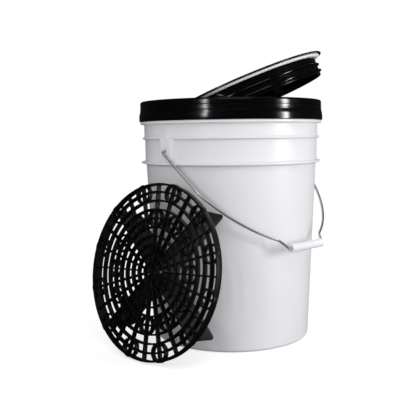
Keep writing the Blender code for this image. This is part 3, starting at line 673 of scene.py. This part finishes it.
# %% The wire's middle line
WIRE_RADIUS = 1.9
reach_way = GRIP_MIDDLE - BAIL_PIVOT
SEAT_REACH = np.linalg.norm(reach_way) / MM
reach_way /= np.linalg.norm(reach_way)
LEG_END = np.array([141.5, 90.0])
HOOP_END = np.array([50.0, 197.0])
HOOP_TURN = np.radians(44.0)
WIRE_END, WIRE_HOOK = 142.1, 153.5    # where the wire ends in the ear, and where it bends down
SEAT_HALF = 41.5


def hoop_arc(count):
    """Arc from the leg's end to the shoulder that turns by HOOP_TURN, from its chord and radius."""
    chord = HOOP_END - LEG_END
    length = np.linalg.norm(chord)
    bow = np.array([chord[1], -chord[0]]) / length
    radius = length / 2 / np.sin(HOOP_TURN / 2)
    centre = (LEG_END + HOOP_END) / 2 - bow * radius * np.cos(HOOP_TURN / 2)
    angle = np.linspace(-0.5, 0.5, count)[:, None] * HOOP_TURN
    return centre + radius * (bow * np.cos(angle) + chord / length * np.sin(angle))


def half_line():
    """(sideways, reach, bend radius) corners from the hidden end to the seat's middle."""
    arc = hoop_arc(9)
    corners = [(WIRE_END, 0.0, 0.0), (WIRE_HOOK, 0.0, 4.5), (*arc[0], 50.0)]
    corners += [(*point, 150.0) for point in arc[1:-1]]
    corners += [(*arc[-1], 8.0), (SEAT_HALF, SEAT_REACH, 5.0), (0.0, SEAT_REACH, 0.0)]
    return rounded(corners, steps=8, closed=False)


def evened(line, spacing):
    """The same line with points at equal distances along it."""
    along = np.concatenate([[0], np.cumsum(np.linalg.norm(np.diff(line, axis=0), axis=1))])
    wanted = np.linspace(0, along[-1], int(along[-1] / spacing) + 1)
    return np.stack([np.interp(wanted, along, line[:, k]) for k in range(2)], -1), wanted


half = half_line()
flat_line, wire_length = evened(np.concatenate([half, half[-2::-1] * [-1, 1]]), 1.6)
wire_path = BAIL_PIVOT + MM * (flat_line[:, :1] * BAIL_AXIS + flat_line[:, 1:] * reach_way)
print(f"wire {wire_length[-1]:.0f} mm long")

# %% Carry a circle along it
SIDES = 20
t = np.linspace(0, 2 * np.pi, SIDES, endpoint=False)
circle_section = WIRE_RADIUS * MM * np.stack([np.cos(t), np.sin(t)], -1)
plane_normal = np.cross(reach_way, BAIL_AXIS)
wire_surface = swept(wire_path, plane_normal, circle_section)
wire = make_piece("bail_hoop", *wire_surface, zinc_wire, "bail", "zinc_wire")
own_place = np.stack(np.broadcast_arrays(np.cos(t)[None], np.sin(t)[None], wire_length[:, None] * MM), -1)
own_place = np.concatenate([own_place.reshape(-1, 3), [[0, 0, 0], [0, 0, wire_length[-1] * MM]]])
stored = wire.data.attributes.new("wire_place", "FLOAT_VECTOR", "POINT")
stored.data.foreach_set("vector", own_place.astype(np.float32).ravel())
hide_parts("bail_wire")

# %% [markdown]
# The grip is a short plastic tube that turns on the seat of the wire. Its outline has a bore, a
# rounded edge at each end and a shallow waist where a hand closes round it.

# %% Turn the grip
GRIP_LENGTH = 76.0
HALF = GRIP_LENGTH / 2
grip_outline = rounded([
    (2.4, -HALF, 0.4), (6.7, -HALF, 0.9), (6.7, -HALF + 5.0, 2.0), (6.45, -HALF + 6.5, 2.0),
    (6.45, HALF - 6.5, 2.0), (6.7, HALF - 5.0, 2.0), (6.7, HALF, 0.9), (2.4, HALF, 0.4),
])
grip_place = (reach_way, np.cross(BAIL_AXIS, reach_way), BAIL_AXIS, GRIP_MIDDLE)
grip = placed(turned(grip_outline * MM, 72), *grip_place)
grip = make_piece("grip_tube", *grip, grip_white, "grip", "grip_white")
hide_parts("bail_grip")

# %% [markdown]
# ## The grit guard
#
# The guard is one moulding: a rim, nine rings inside it, twenty-four spokes, two circles of small
# round bosses, and four tall fins behind. It stands on its rim and leans on the pail. Everything is
# worked out flat, with Z out of its face, and then carried to its place.

# %% The guard's own axes
GUARD_LEAN = np.radians(11.8)
GUARD_Z = GUARD_OUT * np.cos(GUARD_LEAN) + UP * np.sin(GUARD_LEAN)
GUARD_X = np.cross(UP, GUARD_Z)
GUARD_X /= np.linalg.norm(GUARD_X)
GUARD_Y = np.cross(GUARD_Z, GUARD_X)
RIM_WIDTH, RIM_DEPTH = 3.2, 10.0
GUARD_ORIGIN = middle_of("guard_grille") + GUARD_Z * RIM_DEPTH / 2 * MM
guard_place = (GUARD_X, GUARD_Y, GUARD_Z, GUARD_ORIGIN)
GUARD_RADIUS = 133.2
PITCH = GUARD_RADIUS / 10
TURN = np.radians(3.6)
BAR, BAR_DEPTH = 3.0, 8.0
print("guard centre (mm):", np.round(GUARD_ORIGIN / MM, 1))


# %% Bars of the guard
def bar_section(width, top, depth, softness=0.7):
    """Rounded rectangle as (across, height) corners, its top at the given height."""
    w, low = width / 2, top - depth
    return rounded([(-w, low, 0.3), (w, low, 0.3), (w - 0.12, top, softness), (-w + 0.12, top, softness)], 4)


def hoop(radius, width, top, depth, segments):
    section = bar_section(width, top, depth)
    return turned((section + [radius, 0]) * MM, segments)


def spoke(start, end, top=-0.55):
    section = bar_section(BAR - 0.1, top, BAR_DEPTH - 0.3)
    path = np.linspace([start, 0, 0], [end, 0, 0], 3) * MM
    return swept(path, [0, 0, 1], section * MM)


rim = hoop(GUARD_RADIUS - RIM_WIDTH / 2, RIM_WIDTH, 0.0, RIM_DEPTH, 240)
rings = [hoop(PITCH * k, BAR, -0.3, BAR_DEPTH, 60 + 18 * k) for k in range(1, 10)]
steps = np.arange(24) * np.radians(15.0) + TURN
long_spokes = repeated(*spoke(PITCH * 2, GUARD_RADIUS - 2.0), turns(steps))
middle_spokes = repeated(*spoke(PITCH, PITCH * 2), turns(steps[1::2]))
hub_spokes = repeated(*spoke(1.0, PITCH), turns(steps[1::4]))


def bosses(at, radius, angles, top):
    """Small hoops around a circle: one hoop moved out to the circle and turned to each angle."""
    points, quads, triangles = hoop(radius, BAR, top, BAR_DEPTH - 0.15, 64)
    return repeated(points + np.array([at, 0, 0]) * MM, quads, triangles, turns(angles))


outer_bosses = bosses(PITCH * 9, PITCH, steps[1::2], -0.42)
inner_bosses = bosses(PITCH * 6, 13.0, steps[0::2], -0.42)
hub = turned(rounded([(0, -0.45, 0), (4.2, -0.45, 0.7), (4.2, -8.2, 0.4), (0, -8.2, 0)], 4, False) * MM, 48)
lattice = joined(rim, *rings, long_spokes, middle_spokes, hub_spokes, outer_bosses, inner_bosses, hub)
grille = make_piece("guard_lattice", *placed(lattice, *guard_place), guard_black, "guard", "guard_black")
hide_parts("guard_grille")

# %% [markdown]
# The fins stand behind the grille along four spokes. They keep the guard off the bottom of the
# bucket. Each is a flat plate with a rounded back corner, thinner at its back edge so that it
# leaves the mould, so it is a stack of the same outline scaled in thickness.


# %% Fins of the guard
FIN_NEAR, FIN_FAR = -8.6, -55.4    # front and back edge, measured from the guard's face
FIN_OUTER = 129.6


def fin_surface():
    """The fin's outline in (radius, depth), swept across its thickness with softened edges."""
    near, far, outer = FIN_NEAR, FIN_FAR, FIN_OUTER
    outline = rounded([
        (3.0, near, 0.0), (3.0, far, 4.0), (outer - 1.6, far, 8.0), (outer, near, 0.0),
    ], 8)
    middle = outline.mean(0)
    inset = (middle - outline) / np.linalg.norm(middle - outline, axis=1, keepdims=True)
    across = np.array([-1.5, -1.3, -0.9, 0.9, 1.3, 1.5])
    pull = np.array([0.6, 0.18, 0.0, 0.0, 0.18, 0.6])
    taper = 1 - 0.35 * (outline[:, 1] - near) / (far - near)
    loops = outline[None] + inset[None] * pull[:, None, None]
    thick = across[:, None] * taper[None]
    grid = np.stack([loops[..., 0], thick, loops[..., 1]], -1)
    count, around = grid.shape[:2]
    ring = np.arange(around)
    points = np.concatenate([grid.reshape(-1, 3), grid[:1].mean(1), grid[-1:].mean(1)])
    caps = [fan(count * around, ring[::-1]), fan(count * around + 1, (count - 1) * around + ring)]
    return points * MM, wrap_grid(count, around), np.concatenate(caps)


for number in range(4):
    turn = turns([TURN + np.pi / 4 + number * np.pi / 2])
    fin = placed(repeated(*fin_surface(), turn), *guard_place)
    fin = make_piece(f"fin_{number + 1}", *fin, guard_black, "guard", "guard_black")
    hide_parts(f"guard_fin_{number + 1}")

# %% [markdown]
# ## The studio
#
# The object stands on a white floor. A tall soft box on the right gives the broad bright side of the
# pail and the marks on the ring's right, a narrow strip in front on the left gives the second mark,
# and a wide, shallow box above fills in the top. The floor and the surround are a studio device, not
# how a white room behaves: they are white to the camera and nearly dark to mirror-like rays, which
# keeps the black plastic black. The surround's light is dimmed behind on the left.


# %% Floor
FLOOR_GLOW = 1.15
DARK = (0.01, 0.01, 0.01)


def sweep_floor(name, colour):
    """White to the camera, a plain matt surface to soft light, and dark to mirror-like rays."""
    material, tree, shader, place = finish(name)
    link = tree.links.new
    drift = spread(tree, noise(tree, place, 3.0, 2.0), 0.0, 1.0)
    tint = two_colours(tree, drift, colour, tuple(0.99 * c for c in colour))
    ray = node(tree, "ShaderNodeLightPath").outputs
    hide = node(tree, "ShaderNodeMix", data_type="RGBA")
    hide.inputs[7].default_value = (*DARK, 1.0)
    link(ray["Is Glossy Ray"], hide.inputs[0])
    link(tint, hide.inputs[6])
    link(hide.outputs[2], shader.inputs["Base Color"])
    link(tint, shader.inputs["Emission Color"])
    glow = node(tree, "ShaderNodeMath", operation="MULTIPLY")
    glow.inputs[1].default_value = FLOOR_GLOW
    link(ray["Is Camera Ray"], glow.inputs[0])
    link(glow.outputs[0], shader.inputs["Emission Strength"])
    shader.inputs["Roughness"].default_value = 0.9
    shader.inputs["Specular IOR Level"].default_value = 0.0
    return material


floor_mesh = bpy.data.meshes.new("floor")
floor_mesh.from_pydata([(-6, -6, 0), (6, -6, 0), (6, 6, 0), (-6, 6, 0)], [], [(0, 1, 2, 3)])
floor_mesh.materials.append(sweep_floor("floor_white", (0.58, 0.58, 0.585)))
floor = bpy.data.objects.new("floor", floor_mesh)
bpy.context.scene.collection.objects.link(floor)


# %% Lights
AIM_HEIGHT = 0.2


def soft_box(name, azimuth, distance, height, width, tall, power):
    """A rectangular light aimed at the pail's middle. Azimuth 0 is the camera's side, + is right."""
    light = bpy.data.lights.new(name, "AREA")
    light.shape = "RECTANGLE"
    light.size, light.size_y = width, tall
    light.energy = power
    item = bpy.data.objects.new(name, light)
    bpy.context.scene.collection.objects.link(item)
    a = np.radians(azimuth)
    place = np.array([distance * np.sin(a), -distance * np.cos(a), height])
    away = place - np.array([0, 0, AIM_HEIGHT])
    away /= np.linalg.norm(away)
    right = np.cross(UP, away)
    right /= np.linalg.norm(right)
    columns = np.stack([right, np.cross(away, right), away], 1)
    item.matrix_world = Matrix.Translation(place) @ Matrix(columns.tolist()).to_4x4()


soft_box("right_box", azimuth=67, distance=1.5, height=0.42, width=0.20, tall=0.66, power=10.0)
soft_box("left_strip", azimuth=-29.5, distance=1.6, height=0.72, width=0.10, tall=0.8, power=5.0)
soft_box("top_box", azimuth=5, distance=1.4, height=1.6, width=1.2, tall=0.25, power=4.0)

SKY_LIGHT = 0.68                       # strength of the surround
SHADED_WAY = (-0.80, 0.60, 0.0)        # it is dimmed behind on the left
SHADED_SHARE = 0.12
MIRROR_LIGHT = 0.02                    # what mirror-like rays see of it
world = bpy.data.worlds.new("studio")
bpy.context.scene.world = world
world.use_nodes = True
tree = world.node_tree
tree.nodes.clear()
path = tree.nodes.new("ShaderNodeLightPath")
seen = tree.nodes.new("ShaderNodeBackground")
seen.inputs["Color"].default_value = (1, 1, 1, 1)
lit = tree.nodes.new("ShaderNodeBackground")
lit.inputs["Color"].default_value = (0.985, 0.975, 1.0, 1)
way = tree.nodes.new("ShaderNodeTexCoord").outputs["Generated"]
towards = node(tree, "ShaderNodeVectorMath", operation="DOT_PRODUCT")
towards.inputs[1].default_value = SHADED_WAY
tree.links.new(way, towards.inputs[0])
shade = spread(tree, towards.outputs["Value"], SKY_LIGHT, SKY_LIGHT * SHADED_SHARE, 0.35, 0.85)
tree.links.new(shade, lit.inputs["Strength"])
dim = tree.nodes.new("ShaderNodeBackground")
dim.inputs["Color"].default_value = (0.93, 0.96, 1.0, 1)
dim.inputs["Strength"].default_value = MIRROR_LIGHT
soften = tree.nodes.new("ShaderNodeMixShader")
choose = tree.nodes.new("ShaderNodeMixShader")
out = tree.nodes.new("ShaderNodeOutputWorld")
tree.links.new(path.outputs["Is Camera Ray"], choose.inputs[0])
tree.links.new(path.outputs["Is Glossy Ray"], soften.inputs[0])
tree.links.new(lit.outputs[0], soften.inputs[1])
tree.links.new(dim.outputs[0], soften.inputs[2])
tree.links.new(soften.outputs[0], choose.inputs[1])
tree.links.new(seen.outputs[0], choose.inputs[2])
tree.links.new(choose.outputs[0], out.inputs["Surface"])
bpy.context.scene.view_settings.view_transform = "Standard"

# %% [markdown]
# ## The camera
#
# The camera stands a little over a metre in front, level with the upper rib, and looks slightly
# down. Its axes come from three angles: pitch, yaw and a very small roll.

# %% Place the camera
PITCH_DOWN, YAW, ROLL = 0.1043, -0.034, -0.012
forward = np.array([np.sin(YAW) * np.cos(PITCH_DOWN), np.cos(YAW) * np.cos(PITCH_DOWN), -np.sin(PITCH_DOWN)])
level = np.array([np.cos(YAW), -np.sin(YAW), 0.0])
above = np.cross(level, forward)
right = np.cos(ROLL) * level + np.sin(ROLL) * above
above = -np.sin(ROLL) * level + np.cos(ROLL) * above
lens = bpy.data.cameras.new("camera")
lens.sensor_width = 36.0
lens.lens = 59.15
camera = bpy.data.objects.new("camera", lens)
bpy.context.scene.collection.objects.link(camera)
camera.matrix_world = (
    Matrix.Translation((0.0, -1.1474, 0.3309))
    @ Matrix(np.stack([right, above, -forward], 1).tolist()).to_4x4()
)
bpy.context.scene.camera = camera

# %% Finish
bpy.context.view_layer.update()
